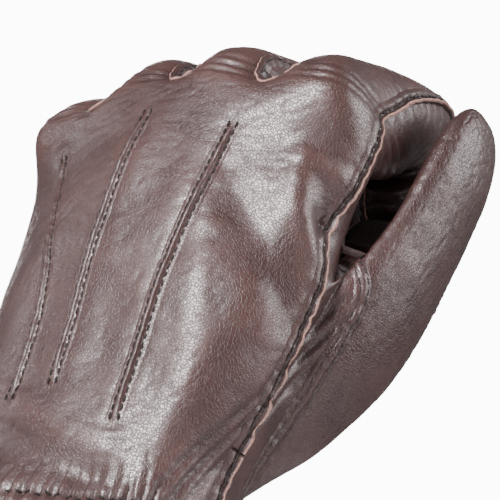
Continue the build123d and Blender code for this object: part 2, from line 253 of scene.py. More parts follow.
        def bend(joint, before, turn, w1, d1, w2, d2, stepIn, stepOut):
            reach = d1 / 2 * tan(radians(turn / 2))
            for share, slant in ((0.0, -reach - 1.0), (0.35, -0.8), (0.65, 0.8), (1.0, 1.0)):
                angle = before + turn * share
                a, o = bent(angle)
                w, d = w1 + (w2 - w1) * share, d1 + (d2 - d1) * share
                if share in (0.0, 1.0):
                    centre = joint + a * (-stepIn if share == 0 else stepOut)
                    stallRing(centre, angle, w, d, slant if share == 0 else reach * d2 / d1 + 1.0)
                    continue
                stallRing(joint, angle, w * 1.03, d * 1.06)
                mid = bent(before + turn / 2)
                for v in {v for f in faces for v in f.verts if v[row] == 2}:
                    spot = joint - mid[1] * (d / 2 / cos(radians(turn / 2)) * 0.82) + mid[0] * slant
                    v.co.y, v.co.z = spot.y, spot.z

        midWidth, midDepth = width - 2.0, depth - 2.0
        tipWidth, tipDepth = width - 4.0, depth - 4.0
        bend(pip, fist["row"], fist["middle"], width * 0.94, depth * 0.96, midWidth, midDepth, 2.0, 2.0)
        after = fist["row"] + fist["middle"]
        stallRing((pip + dip) / 2, after, midWidth * 0.97, midDepth * 0.97, 3.0)
        bend(dip, after, fist["tip"], midWidth * 0.97, midDepth * 0.96, tipWidth, tipDepth, 1.0, 1.0)
        last = after + fist["tip"]
        a, o = bent(last)
        length = tipLength[name]
        stallRing(dip + a * length * 0.5, last, tipWidth * 0.98, tipDepth * 0.98)
        stallRing(dip + a * length * 0.82, last, tipWidth * 0.90, tipDepth * 0.88)
        stallRing(dip + a * (length + 0.5), last, tipWidth * 0.5, tipDepth * 0.5)

    # Thumb: the faces beside the palm are drawn out ring by ring
    region = [
        f for f in bm.faces
        if all(v[limb] == 0 and 5 <= v[ring] <= 8 for v in f.verts)
        and all(v[row] >= 1 and v[col] <= 2 for v in f.verts)
        and (all(v[row] == 2 for v in f.verts) or all(v[col] == 0 for v in f.verts))
        and len({v[ring] for v in f.verts}) == 2
    ]
    for number, (inner, outer, depth, thick) in enumerate(thumbRings, 1):
        region, verts = extrude(region)
        inner, outer = Vector((inner[0], 0, inner[1])), Vector((outer[0], 0, outer[1]))
        centre, reach = (inner + outer) / 2, (inner - outer) / 2 * 1.08
        for v in verts:
            v[limb], v[step] = 5, number
            place = 0 if v[row] == 1 else 1 + v[col]
            across = {0: 1.0, 1: 0.42, 2: -0.42, 3: -1.0}[place]
            rise = {8: 1.0, 7: 0.33, 6: -0.33, 5: -1.0}[v[ring]]
            if v[ring] in (5, 8):
                across *= 0.72
                if place in (0, 3):
                    rise *= 0.72
            v.co = centre + reach * rise + Vector((0, depth - across * thick * 1.08, 0))

    bmesh.ops.delete(bm, geom=[f for f in bottom if f.is_valid], context="FACES")
    bmesh.ops.delete(bm, geom=[e for e in bm.edges if not e.link_faces], context="EDGES")
    bmesh.ops.delete(bm, geom=[v for v in bm.verts if not v.link_faces], context="VERTS")
    bmesh.ops.recalc_face_normals(bm, faces=bm.faces)
    spots = {}
    for v in bm.verts:
        if v[limb] != 5:
            v.co += archShift(v.co.x, v.co.z, 1 <= v[limb] <= 4)
        if v[limb] == 0 and v[ring] == 12 and v[row] == 0 and v[col] in crotch:
            v.co = Vector(crotch[v[col]])
        number = v[step] if v[limb] == 5 else v[ring]
        column = v[ring] if v[limb] == 5 else v[col]
        place = (0 if v[row] == 1 else 1 + v[col]) if v[limb] == 5 else v[row]
        spots[(v[limb], number, place, column)] = v.co.copy()
    for f in bm.faces:
        limbs = {v[limb] for v in f.verts}
        if 5 in limbs:
            f.material_index = thumbTip if min(v[step] for v in f.verts) >= 4 else thumbBase
        elif max(limbs):
            n = max(limbs)
            low = min(v[ring] if v[limb] else 0 for v in f.verts)
            f.material_index = trunk if low < 2 else 9 + n if low < 8 else 19 + n
        else:
            f.material_index = cuff if max(v[ring] for v in f.verts) <= 5 else trunk
        f.smooth = True
    return bm, spots


def smoothed(bm, name, levels):
    mesh = bpy.data.meshes.new(name)
    bm.to_mesh(mesh)
    bm.free()
    made = bpy.data.objects.new(name, mesh)
    bpy.context.scene.collection.objects.link(made)
    sub = made.modifiers.new("smooth", "SUBSURF")
    sub.levels = sub.render_levels = levels
    done = bpy.data.meshes.new_from_object(made.evaluated_get(bpy.context.evaluated_depsgraph_get()))
    bpy.data.objects.remove(made)
    bpy.data.meshes.remove(mesh)
    return done


cage, spots = buildCage()
skin = smoothed(cage, "skin_cage", 4)
print("skin cage smoothed", len(skin.polygons), "faces")

# The smoothed skin as arrays, with a search tree to lay seams on it
count = len(skin.vertices)
places = np.empty(count * 3)
skin.vertices.foreach_get("co", places)
places = places.reshape(-1, 3)
corners = np.array([p.vertices[:] for p in skin.polygons])
partOfFace = np.array([p.material_index for p in skin.polygons])


def vertexNormals(points):
    a, b, c, d = (points[corners[:, k]] for k in range(4))
    across = np.cross(c - a, d - b)
    total = np.zeros_like(points)
    for k in range(4):
        np.add.at(total, corners[:, k], across)
    return total / np.maximum(np.linalg.norm(total, axis=1, keepdims=True), 1e-9)


class Skin:
    def __init__(self, points):
        self.points = points
        self.normals = vertexNormals(points)
        self.tree = BVHTree.FromPolygons(points.tolist(), corners.tolist())

    def at(self, spot):
        place, flat, face, far = self.tree.find_nearest(spot)
        ids = corners[face]
        weight = 1.0 / (np.linalg.norm(self.points[ids] - np.array(place), axis=1) + 0.02)
        normal = Vector((self.normals[ids] * weight[:, None]).sum(0)).normalized()
        return place, normal, partOfFace[face]


plain = Skin(places.copy())


def spline(points, closed, spacing):
    pts = [Vector(p) for p in points]
    if closed:
        pts = [pts[-1]] + pts + pts[:2]
    else:
        pts = [2 * pts[0] - pts[1]] + pts + [2 * pts[-1] - pts[-2]]
    fine = []
    for p0, p1, p2, p3 in zip(pts, pts[1:], pts[2:], pts[3:]):
        for k in range(12):
            t = k / 12
            fine.append(0.5 * (2 * p1 + (p2 - p0) * t + (2 * p0 - 5 * p1 + 4 * p2 - p3) * t * t
                               + (3 * p1 - p0 - 3 * p2 + p3) * t ** 3))
    fine.append(pts[-2])
    return resampled(fine, spacing)


def resampled(points, spacing):
    lengths = np.concatenate([[0], np.cumsum([(b - a).length for a, b in zip(points, points[1:])])])
    steps = max(2, round(lengths[-1] / spacing))
    want = np.linspace(0, lengths[-1], steps + 1)
    flat = np.array([p[:] for p in points])
    return [Vector(q) for q in zip(*(np.interp(want, lengths, flat[:, k]) for k in range(3)))]


def onSkin(surface, points, closed=False, spacing=0.9):
    path = [surface.at(p)[0] for p in spline(points, closed, spacing)]
    for _ in range(6):  # eased, so that the line runs smoothly over the skin
        ends = (path[0], path[-1])
        path = [path[0]] + [(a + b * 2 + c) / 4 for a, b, c in zip(path, path[1:], path[2:])] + [path[-1]]
        if closed:
            path[0] = path[-1] = (path[1] + path[-2] + ends[0] * 2) / 4
        path = [surface.at(p)[0] for p in path]
    return resampled(path, spacing)


# Seam lines: each has its points, its kind of section and a spot on the side that its lap faces
def fingerLine(n, rows, side, first, last, stepBy=1):
    col = 2 * (n - 1) + (0 if side > 0 else 2)
    return [spots[(n, k, rows, col)] for k in range(first, last + stepBy, stepBy)]


seams = []
for n in (1, 2, 3):
    for rows, edge in ((0, "back"), (2, "palm")):
        web = spots[(0, 12, rows, 2 * n)]
        line = fingerLine(n, rows, -1, 14, 1, -1) + [web] + fingerLine(n + 1, rows, 1, 1, 14)
        seams.append({"name": f"fork_{edge}_{n}", "kind": "fork", "points": line,
                      "toward": web + (Vector((0, -9, -14)) if rows == 0 else Vector((0, 9, -14)))})
sideLine = [spots[(0, k, 1, 0)] for k in range(1, 13)] + [spots[(1, k, 1, 0)] for k in range(1, 15)]
seams.append({"name": "index_side", "kind": "pique", "points": sideLine, "toward": Vector((64, 40, 120))})
seams.append({"name": "little_side", "kind": "pique", "points": [spots[(4, k, 1, 8)] for k in range(2, 15)],
              "toward": Vector((-36, -4, 190))})
thumbLoop = [(42.5, 11, 122), (45.2, 13.0, 113), (43.5, 12, 98), (39.5, 12, 79), (35, 14, 65), (27, 23, 59),
             (19, 26, 66), (15, 27, 82), (15, 27, 98), (20, 25, 113), (30, 20, 123), (38, 14, 127)]
seams.append({"name": "thumb_base", "kind": "lap", "points": [Vector(p) for p in thumbLoop], "closed": True,
              "toward": Vector((30, -22, 95))})
seams.append({"name": "thumb_side", "kind": "lap", "toward": Vector((70, 60, 130)),
              "points": [spots[(5, k, 3, 6)].lerp(spots[(5, k, 3, 7)], 0.5) for k in range(2, 9)]})
pointLines = {
    "index": [(14.4, -18, 62.3), (14.9, -18, 82), (15.6, -18, 101), (17.7, -18, 120), (20.3, -17, 142)],
    "middle": [(-2.9, -19, 71), (-3.8, -20, 95), (-3.8, -20, 113), (-3.3, -19, 132), (-2.6, -18, 147)],
    "ring": [(-12.8, -18, 67.5), (-13.4, -18, 84), (-15.5, -18, 101), (-20.5, -14, 119), (-25.0, -11, 132),
             (-27.6, -10, 142)],
}
for s in seams:
    s["path"] = onSkin(plain, s["points"], s.get("closed", False))
for name, line in pointLines.items():
    seams.append({"name": "point_" + name, "kind": "point", "path": onSkin(plain, line)})
gather = [(-32, 0, 0), (-28, -16, 0), (-15, -24, -0.5), (0, -25, -1), (15, -24, -0.5), (28, -16, 0),
          (32.5, 0, 0)]
gatherPath = onSkin(plain, [(x, y, gatherHeight + z) for x, y, z in gather])
print("seam lines laid", len(seams))

# Folds and dents of the worn leather, as (from, to, half width, depth); a negative depth is a ridge
folds = [
    ((23, -17, 128), (34.7, -11.7, 109), 6.0, 1.7), ((34.7, -11.7, 109), (41, -3, 97), 5.0, 1.6),
    ((35.2, -9.0, 134), (37.6, -8, 121), 3.6, -1.5), ((37.6, -8, 121), (42, -1, 110), 3.2, -1.3),
    ((36, -9, 135), (44, 2, 133), 2.6, -1.3), ((41.5, -2.5, 124), (43, 1, 122), 3.4, 2.2),
    ((22, -18, 112), (27, -16, 84), 5.5, -1.1), ((27, -16, 84), (26, -17, 66), 5.0, -0.7),
    ((9, -20, 140), (6, -20, 112), 6.0, 0.7), ((-12, -19, 139), (-9, -20, 108), 6.0, 0.7),
    ((-8, -20, 100), (-8, -19, 74), 5.0, 0.6), ((6, -20, 100), (7, -19, 66), 5.0, 0.5),
    ((-34, -8, 64), (12, -19, 50), 4.5, 2.4), ((12, -19, 50), (34, -8, 46), 4.0, 1.4),
    ((-26, -14, 52), (4, -20, 40), 6.0, -1.8), ((-20, -16, 72), (4, -19, 60), 4.5, -1.0),
    ((22, 24, 92), (-26, 22, 100), 3.5, 0.9), ((20, 24, 76), (-28, 22, 80), 3.0, 0.8),
    ((-10, 25, 112), (-34, 20, 116), 3.0, 0.9), ((52, 18, 128), (47, 15, 104), 5.0, 0.6),
]
fine = plain.points.copy()
push = np.zeros(count)


def segmentDistance(points, a, b):
    a, b = np.array(a, float), np.array(b, float)
    t = np.clip(((points - a) @ (b - a)) / ((b - a) @ (b - a)), 0, 1)
    return np.linalg.norm(points - (a + t[:, None] * (b - a)), axis=1), t


for a, b, wide, deep in folds:
    far, t = segmentDistance(fine, plain.at(Vector(a))[0], plain.at(Vector(b))[0])
    push -= deep * np.exp(-(far / wide) ** 2) * (0.35 + 0.65 * np.sin(pi * np.clip(t, 0.08, 0.92)))

# Creases where each stall folds on its palm side, and slight ones over the backs of the knuckles
for name in fingers:
    for joint, turn in ((jointAt(name + "_bend"), 110), (jointAt(name + "_tip_bend"), 190)):
        along, out = bent(turn)
        centre = np.array(joint + archShift(joint.x, 160, True))
        local = fine - centre
        u, o = local @ np.array(along), local @ np.array(out)
        near = np.exp(-((local[:, 0]) / 12) ** 4) * (np.abs(u) < 9)
        for shift, deep in ((-2.6, 0.55), (0.2, 0.8), (3.0, 0.5)):
            crease = np.exp(-((u - shift - 0.5 * np.sin(local[:, 0] * 0.3)) / 0.9) ** 2)
            push -= np.where(o < 2, deep, 0) * near * crease

# The leather is drawn in at each seam, and puckers between its stitches
for s in seams:
    deep, wide = (0.28, 1.9) if s["kind"] == "point" else (0.45, 2.4)
    flat = np.array([p[:] for p in s["path"]])
    low, high = flat.min(0) - 6, flat.max(0) + 6
    near = np.where(np.all((fine > low) & (fine < high), axis=1))[0]
    for chunk in np.array_split(near, max(1, len(near) // 4000)):
        gap = np.linalg.norm(fine[chunk][:, None] - flat[None], axis=2)
        which = gap.argmin(1)
        pucker = 1.0 + 0.35 * np.sin(which * 0.9 * 2 * pi / 4.4 + 3 * np.sin(which * 0.13))
        push[chunk] -= deep * pucker * np.exp(-(gap.min(1) / wide) ** 2)
flat = np.array([p[:] for p in gatherPath])
near = np.where(np.abs(fine[:, 2] - gatherHeight) < 12)[0]
gap = np.linalg.norm(fine[near][:, None] - flat[None], axis=2)
which = gap.argmin(1)
ruche = 0.5 + 0.5 * np.sin(which * 0.9 * 2 * pi / 3.2 + 1.2 * np.sin(which * 0.31))
push[near] += (0.75 * ruche - 0.55) * np.exp(-(gap.min(1) / 5.5) ** 2)
push[near] -= 0.6 * np.exp(-(gap.min(1) / 1.2) ** 2)

# Soft unevenness, and fine lines across the stalls
for k in range(count):
    p = Vector(fine[k])
    soft = noise.noise(p * 0.05) * 0.5 + noise.noise(p * 0.12 + Vector((7, 3, 1))) * 0.16
    lines = 1 - abs(noise.noise(Vector((p.x * 0.10, p.y * 0.42, p.z * 0.42)) + Vector((1, 5, 9)))) * 2
    push[k] += soft - 0.16 * max(0.0, lines - 0.72) / 0.28
worn = Skin(fine + plain.normals * push[:, None])
print("leather creased")

# Wear: how far each vertex stands out from its neighbours
ends = np.array([e.vertices[:] for e in skin.edges])
total, number = np.zeros((count, 3)), np.zeros(count)
for a, b in ((0, 1), (1, 0)):
    np.add.at(total, ends[:, a], worn.points[ends[:, b]])
    np.add.at(number, ends[:, a], 1)
wear = ((worn.points - total / number[:, None]) * worn.normals).sum(1)
for _ in range(12):
    total = np.zeros(count)
    for a, b in ((0, 1), (1, 0)):
        np.add.at(total, ends[:, a], wear[ends[:, b]])
    wear = 0.4 * wear + 0.6 * total / number
wear = np.clip(wear / np.percentile(np.abs(wear), 97), -1, 1) * 0.5 + 0.5
for s in seams:
    s["path"] = resampled([worn.at(p)[0] for p in s["path"]], 0.8)
gatherPath = [worn.at(p)[0] for p in gatherPath]


def framesAlong(surface, path, toward=None):
    rows = []
    for k, p in enumerate(path):
        spot, normal, part = surface.at(p)
        ahead = path[min(k + 1, len(path) - 1)] - path[max(k - 1, 0)]
        ahead = (ahead - normal * ahead.dot(normal)).normalized()
        rows.append([spot, normal, ahead, ahead.cross(normal).normalized(), part])
    if toward is not None:
        middle = rows[len(rows) // 2]
        if middle[3].dot(toward - middle[0]) < 0:
            for r in rows:
                r[3] = -r[3]
    for _ in range(3):
        sides = [r[3] for r in rows]
        for k in range(1, len(rows) - 1):
            rows[k][3] = (sides[k - 1] + sides[k] * 2 + sides[k + 1]).normalized()
    return rows


# Sections of the raised seams, as (across, height, finish of the face after it): 0 leather, 1 raw edge
profiles = {
    "pique": [(-2.9, -0.22, 0), (-2.2, 0.24, 0), (-1.6, 0.60, 0), (-1.1, 0.70, 0), (-0.7, 0.46, 0),
              (-0.1, 0.36, 0), (0.22, 0.60, 0), (0.42, 1.14, 1), (0.66, 1.30, 1), (0.98, 1.24, 1),
              (1.14, 0.95, 0), (1.10, 0.25, 0), (0.95, -0.35, 0)],
    "lap": [(-2.6, -0.20, 0), (-2.0, 0.20, 0), (-1.45, 0.42, 0), (-1.0, 0.36, 0), (-0.62, 0.66, 0),
            (-0.3, 0.84, 0), (0.3, 0.84, 0), (0.62, 0.66, 0), (1.0, 0.30, 0), (1.45, 0.26, 0), (1.8, 0.06, 0),
            (2.1, -0.25, 0)],
    "fork": [(-3.4, -0.25, 0), (-2.2, 0.18, 0), (-1.2, 0.58, 0), (-0.4, 0.72, 0), (0.3, 0.72, 0),
             (0.62, 0.62, 1), (0.74, 0.34, 1), (0.66, 0.05, 0), (0.5, -0.35, 0)],
    "point": [(-2.4, -0.20, 0), (-1.8, 0.10, 0), (-1.3, 0.24, 0), (-0.85, 0.20, 0), (-0.52, 0.78, 0),
              (-0.28, 1.02, 0), (0.0, 1.08, 0), (0.28, 1.02, 0), (0.52, 0.78, 0), (0.85, 0.20, 0),
              (1.3, 0.24, 0), (1.8, 0.10, 0), (2.4, -0.20, 0)],
}
welts, threads = {}, {}
parts = [trunk, cuff, thumbBase, thumbTip] + [10 + n for n in range(4)] + [20 + n for n in range(4)]
for number in parts:
    welts[number] = bmesh.new()
    threads[number] = bmesh.new()


def layStrip(bm, rows, profile, ease):
    nx, ny = len(rows) - 1, len(profile) - 1
    made = bmesh.ops.create_grid(bm, x_segments=nx, y_segments=ny, size=1.0)["verts"]
    place = {v: (round((v.co.x + 1) / 2 * nx), round((v.co.y + 1) / 2 * ny)) for v in made}
    facing = 0.0
    for v, (i, j) in place.items():
        spot, normal, ahead, side, part = rows[i]
        across, high, finish = profile[j]
        q, n, _ = worn.at(spot + side * across)
        if (q - spot).length > abs(across) * 1.4 + 0.6:
            q, n = spot + side * across, normal
        v.co = q + n * (high * ease[i] if high > 0 else high)
    faces = {f for v in made for f in v.link_faces}
    for f in faces:
        f.smooth = True
        f.normal_update()
        f.material_index = profile[min(place[v][1] for v in f.verts)][2]
        facing += f.normal.dot(rows[min(place[v][0] for v in f.verts)][1])
    if facing < 0:
        bmesh.ops.reverse_faces(bm, faces=list(faces))


def runs(rows):
    start = 0
    for k in range(1, len(rows) + 1):
        if k == len(rows) or rows[k][4] != rows[start][4]:
            stop = min(k, len(rows) - 1)
            if stop > start:
                yield rows[start][4], start, stop + 1
            start = k


chance = random.Random(7)
stitch = {"length": 0.85, "width": 0.30, "height": 0.22}


def layStitches(rows, across, pitch, lift, first=0.0, last=None, size=1.0):
    lengths = [0.0]
    for a, b in zip(rows, rows[1:]):
        lengths.append(lengths[-1] + (b[0] - a[0]).length)
    last = lengths[-1] if last is None else lengths[-1] - last
    at, k = first + pitch / 2, 0
    while at < last:
        while lengths[k + 1] < at:
            k += 1
        t = (at - lengths[k]) / max(lengths[k + 1] - lengths[k], 1e-6)
        a, b = rows[k], rows[k + 1]
        spot, side = a[0].lerp(b[0], t), a[3].lerp(b[3], t).normalized()
        shift = side * across
        q, n, _ = worn.at(spot + shift)
        ahead = (a[2].lerp(b[2], t) + side * chance.uniform(-0.08, 0.08)).normalized()
        ahead = (ahead - n * ahead.dot(n)).normalized()
        turn = Matrix((ahead, n.cross(ahead), n)).transposed().to_4x4()
        shape = Matrix.Diagonal((stitch["height"], stitch["width"], stitch["length"] * size, 1))
        spun = Matrix.Translation(q + n * lift) @ turn @ Matrix.Rotation(pi / 2, 4, "Y")
        bmesh.ops.create_uvsphere(threads[a[4]], u_segments=6, v_segments=5, radius=1, matrix=spun @ shape)
        at += pitch


for s in seams:
    rows = framesAlong(worn, s["path"], s.get("toward"))
    profile = profiles[s["kind"]]
    total = len(rows)
    for part, start, stop in runs(rows):
        piece = rows[start:stop]
        if len(piece) < 3:
            continue
        reach = 10 if s["kind"] == "point" else 5
        ease = [1.0 if s.get("closed") else min(1.0, (k + 0.2) / reach, (total - 1 - k + 0.2) / reach)
                for k in range(start, stop)]
        layStrip(welts[part], piece, profile, ease)
    if s["kind"] in ("point", "lap"):
        layStitches(rows, -1.0, 2.2, 0.28, 1, 1)
        layStitches(rows, 1.0, 2.2, 0.28, 1, 1)
    elif s["kind"] == "pique":
        layStitches(rows, -0.42, 2.0, 0.56)
    else:
        layStitches(rows, -0.9, 2.2, 0.66)
layStitches(framesAlong(worn, gatherPath), 0.0, 2.4, 0.22, size=1.1)
print("seams and stitches laid")


# Where each part of the skin bends as its joint turns: between the borders that it shares with its neighbours
def borderOf(one, other):
    return worn.points[np.intersect1d(corners[partOfFace == one], corners[partOfFace == other])]


def bandBetween(before, after, most):
    spread = np.cov(before.T) + np.cov(after.T) + np.eye(3)
    way = np.linalg.solve(spread, after.mean(0) - before.mean(0))
    way /= np.linalg.norm(way)
    start = (before @ way).max() + bands["gap"]
    end = min(start + most, max(start + 1.5, (after @ way).min() - bands["gap"]))
    return Vector(way * start), Vector(way * end)


# Along rowWay and in mm; a finger's bands run from so far before its joint to so far past it
bands = {"row": (120.9, 138.9), "middle": (5.2, 1.8), "tip": (2.6, 4.2), "thumb": 10, "thumbTip": 12,
         "gap": 0.3}
thumbRoot, thumbFold = borderOf(thumbBase, trunk), borderOf(thumbTip, thumbBase)
tipPoints = worn.points[np.unique(corners[partOfFace == thumbTip])]
tipPoints = tipPoints[tipPoints[:, 2] > 155]
rowWay = Vector((0, 0.5, 0.866))
rowFoot = max(bands["row"][0], (thumbRoot @ np.array(rowWay)).max() + bands["gap"])
rowTop = min((borderOf(trunk, 10 + n) @ np.array(rowWay)).min() for n in range(4)) - bands["gap"]
rowTop = min(bands["row"][1], rowTop)
print("knuckle row band from", round(float(rowFoot), 1), "to", round(float(rowTop), 1))
joinOf = {trunk: ("hand", "knuckles", rowWay * float(rowFoot), rowWay * float(rowTop)),
          thumbBase: ("hand", "thumb", *bandBetween(thumbRoot, thumbFold, bands["thumb"])),
          thumbTip: ("thumb", "thumb_tip", *bandBetween(thumbFold, tipPoints, bands["thumbTip"]))}
for n, name in enumerate(fingers):
    joint = jointAt(name + "_bend")
    shift, along = archShift(joint.x, joint.z, True), bent(110)[0]
    start, end = (joint + shift - along * bands["middle"][0], joint + shift + along * bands["middle"][1])
    joinOf[10 + n] = ("knuckles", name + "_middle", start, end)
    joint, along = jointAt(name + "_tip_bend"), bent(190)[0]
    start, end = (joint + shift - along * bands["tip"][0], joint + shift + along * bands["tip"][1])
    joinOf[20 + n] = (name + "_middle", name + "_tip", start, end)
partName = {trunk: "hand", cuff: "cuff", thumbBase: "thumb_base", thumbTip: "thumb_tip"}
for n, name in enumerate(fingers):
    partName[10 + n], partName[20 + n] = name + "_middle", name + "_tip"


def placePiece(piece, part):
    bpy.context.scene.collection.objects.link(piece)
    if part in joinOf:
        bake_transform(piece)
    else:
        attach(piece, "hand")
    return piece


def meshFrom(bm, name, materials):
    for v in bm.verts:
        v.co *= mm
    mesh = bpy.data.meshes.new(name)
    bm.to_mesh(mesh)
    bm.free()
    for m in materials:
        mesh.materials.append(m)
    return mesh


# Materials
def newGroup(name, inputs, outputs):
    group = bpy.data.node_groups.new(name, "ShaderNodeTree")
    for label, value in inputs:
        made = group.interface.new_socket(name=label, in_out="INPUT", socket_type="NodeSocketFloat")
        made.default_value = value
    for label in outputs:
        group.interface.new_socket(name=label, in_out="OUTPUT", socket_type="NodeSocketFloat")
    return group, group.nodes.new("NodeGroupInput"), group.nodes.new("NodeGroupOutput")


def node(tree, kind, links=(), **values):
    made = tree.nodes.new("ShaderNode" + kind)
    for key, value in values.items():
        if hasattr(made, key):
            setattr(made, key, value)
    for where, what in links:
        target = made.inputs[where]
        if isinstance(what, bpy.types.NodeSocket):
            tree.links.new(what, target)
        else:
            target.default_value = what
    return made


def math(tree, operation, a, b=0.0, c=0.0):
    return node(tree, "Math", ((0, a), (1, b), (2, c)), operation=operation).outputs[0]


def ramp(tree, value, low, high, start=0.0, end=1.0):
    made = node(tree, "MapRange", (("Value", value), ("From Min", low), ("From Max", high), ("To Min", start),
                                   ("To Max", end)), interpolation_type="SMOOTHSTEP", clamp=True)
    return made.outputs[0]


def inMillimetres(tree, scale=(1, 1, 1)):
    coords = tree.nodes.new("ShaderNodeTexCoord")
    made = tree.nodes.new("ShaderNodeMapping")
    made.inputs["Scale"].default_value = [s * 1000 for s in scale]
    tree.links.new(coords.outputs["Object"], made.inputs["Vector"])
    return made.outputs["Vector"]


# Grain of the leather: pebbles parted by fine creases, blotches, and hair lines drawn across; its crease mask
# also paints shade into the creases' colour
grain, given, out = newGroup("leather_grain", (("Pebble", 0.85), ("Lines", 1.0)),
                             ("Height", "CreaseShade", "Blotch", "Pore"))
space = inMillimetres(grain)
sway = node(grain, "TexNoise", (("Vector", space), ("Scale", 0.9), ("Detail", 2.0))).outputs["Color"]
bentSpace = node(grain, "VectorMath", ((0, sway), (1, (0.9, 0.9, 0.9)), (2, space)), operation="MULTIPLY_ADD")
perPebble = math(grain, "DIVIDE", 1.0, given.outputs[0])
cells = node(grain, "TexVoronoi", (("Vector", bentSpace.outputs[0]), ("Scale", perPebble)),
             feature="DISTANCE_TO_EDGE").outputs["Distance"]
pebble = ramp(grain, cells, 0.0, 0.16)
pores = node(grain, "TexNoise", (("Vector", space), ("Scale", 4.2), ("Detail", 3.0))).outputs[0]
blotch = node(grain, "TexNoise", (("Vector", space), ("Scale", 0.075), ("Detail", 4.0),
                                  ("Roughness", 0.55))).outputs[0]
drawn = inMillimetres(grain, (0.16, 0.62, 0.62))
crossing = node(grain, "TexNoise", (("Vector", drawn), ("Scale", 0.9), ("Detail", 2.5),
                                    ("Distortion", 0.5))).outputs[0]
ridge = math(grain, "ABSOLUTE", math(grain, "SUBTRACT", crossing, 0.5))
hair = math(grain, "MULTIPLY", ramp(grain, ridge, 0.0, 0.05, 1.0, 0.0), given.outputs[1])
soft = node(grain, "TexNoise", (("Vector", space), ("Scale", 0.28), ("Detail", 3.0))).outputs[0]
height = math(grain, "MULTIPLY_ADD", pebble, 0.030, math(grain, "MULTIPLY", pores, 0.002))
height = math(grain, "MULTIPLY_ADD", hair, -0.006, height)
height = math(grain, "MULTIPLY_ADD", soft, 0.03, height)
# Crease mask, strongest along the pebbles' edges: it paints shade into the leather's colour there and roughens
# it
crease = ramp(grain, cells, 0.0, 0.12, 1.0, 0.0)
for label, value in (("Height", height), ("CreaseShade", crease), ("Blotch", blotch), ("Pore", pores)):
    grain.links.new(value, out.inputs[label])

# Twist of a thread or the rows of a knit, with painted shade: the colour darkens in the hollows of the same
# pattern
rib, ribGiven, ribOut = newGroup("rib_weave", (("Pitch", 0.5), ("Slant", 0.6)), ("Height", "PaintedShade"))
space = inMillimetres(rib)
split = node(rib, "SeparateXYZ", ((0, space),)).outputs
across = math(rib, "MULTIPLY_ADD", split[2], ribGiven.outputs[1], math(rib, "ADD", split[0], split[1]))
waves = math(rib, "SINE", math(rib, "DIVIDE", math(rib, "MULTIPLY", across, 2 * pi), ribGiven.outputs[0]))
rows = math(rib, "SINE", math(rib, "DIVIDE", math(rib, "MULTIPLY", split[2], 2 * pi), ribGiven.outputs[0]))
woven = math(rib, "MULTIPLY", waves, rows)
fuzz = node(rib, "TexNoise", (("Vector", space), ("Scale", 2.5), ("Detail", 3.0))).outputs[0]
height = math(rib, "MULTIPLY_ADD", woven, 0.10, math(rib, "MULTIPLY", fuzz, 0.12))
rib.links.new(height, ribOut.inputs["Height"])
# Painted shade: lighter on the pattern's ridges, darker in its hollows
rib.links.new(ramp(rib, woven, -1.0, 1.0), ribOut.inputs["PaintedShade"])

finishes = {
    # dark tone, light tone, roughness low and high, coat, size of a pebble of the grain in mm
    "leather": {"dark": (0.017, 0.0066, 0.0056), "light": (0.040, 0.0165, 0.0138),
                "rough": (0.31, 0.39), "coat": 0.12, "pebble": 0.70},
    "hem_leather": {"dark": (0.026, 0.013, 0.011), "light": (0.055, 0.029, 0.025),
                    "rough": (0.42, 0.58), "coat": 0.05, "pebble": 0.70},
    "pad_leather": {"dark": (0.020, 0.012, 0.011), "light": (0.038, 0.024, 0.022),
                    "rough": (0.55, 0.68), "coat": 0.0, "pebble": 0.55},
}


def shaderOf(name):
    made = bpy.data.materials.new(name)
    made.use_nodes = True
    return made, made.node_tree, made.node_tree.nodes["Principled BSDF"]


def bumped(tree, shader, height, strength=1.0):
    made = node(tree, "Bump", (("Height", height), ("Strength", strength), ("Distance", mm)))
    tree.links.new(made.outputs[0], shader.inputs["Normal"])


def mixColours(tree, amount, a, b):
    made = tree.nodes.new("ShaderNodeMix")
    made.data_type = "RGBA"
    for k, value in ((0, amount), (6, a), (7, b)):
        if isinstance(value, bpy.types.NodeSocket):
            tree.links.new(value, made.inputs[k])
        else:
            made.inputs[k].default_value = value if k == 0 else (*value, 1)
    return made.outputs[2]


def leatherOf(name):
    look = finishes[name]
    made, tree, shader = shaderOf(name)
    group = tree.nodes.new("ShaderNodeGroup")
    group.node_tree = grain
    group.inputs["Pebble"].default_value = look["pebble"]
    rubbed = node(tree, "Attribute", attribute_name="wear").outputs["Fac"]
    tone = ramp(tree, group.outputs["Blotch"], 0.3, 0.7)
    tone = math(tree, "MULTIPLY_ADD", ramp(tree, rubbed, 0.45, 0.95), 0.55, math(tree, "MULTIPLY", tone, 0.55))
    # Painted shade: the colour is darkened along the grain's creases
    tone = math(tree, "MULTIPLY_ADD", group.outputs["CreaseShade"], -0.80, tone)
    tree.links.new(mixColours(tree, tone, look["dark"], look["light"]), shader.inputs["Base Color"])
    low, high = look["rough"]
    gloss = ramp(tree, group.outputs["Blotch"], 0.3, 0.7, low, high)
    gloss = math(tree, "MULTIPLY_ADD", group.outputs["CreaseShade"], 0.30, gloss)
    tree.links.new(gloss, shader.inputs["Roughness"])
    shader.inputs["Coat Weight"].default_value = look["coat"]
    shader.inputs["Coat Roughness"].default_value = 0.32
    bumped(tree, shader, group.outputs["Height"])
    return made


def fabricOf(name, dark, light, pitch, slant, rough, sheen=0.0):
    made, tree, shader = shaderOf(name)
    group = tree.nodes.new("ShaderNodeGroup")
    group.node_tree = rib
    group.inputs["Pitch"].default_value = pitch
    group.inputs["Slant"].default_value = slant
    # Painted shade from the weave's hollows is mixed into the colour
    tree.links.new(mixColours(tree, group.outputs["PaintedShade"], dark, light), shader.inputs["Base Color"])
    shader.inputs["Roughness"].default_value = rough
    shader.inputs["Sheen Weight"].default_value = sheen
    bumped(tree, shader, group.outputs["Height"])
    return made


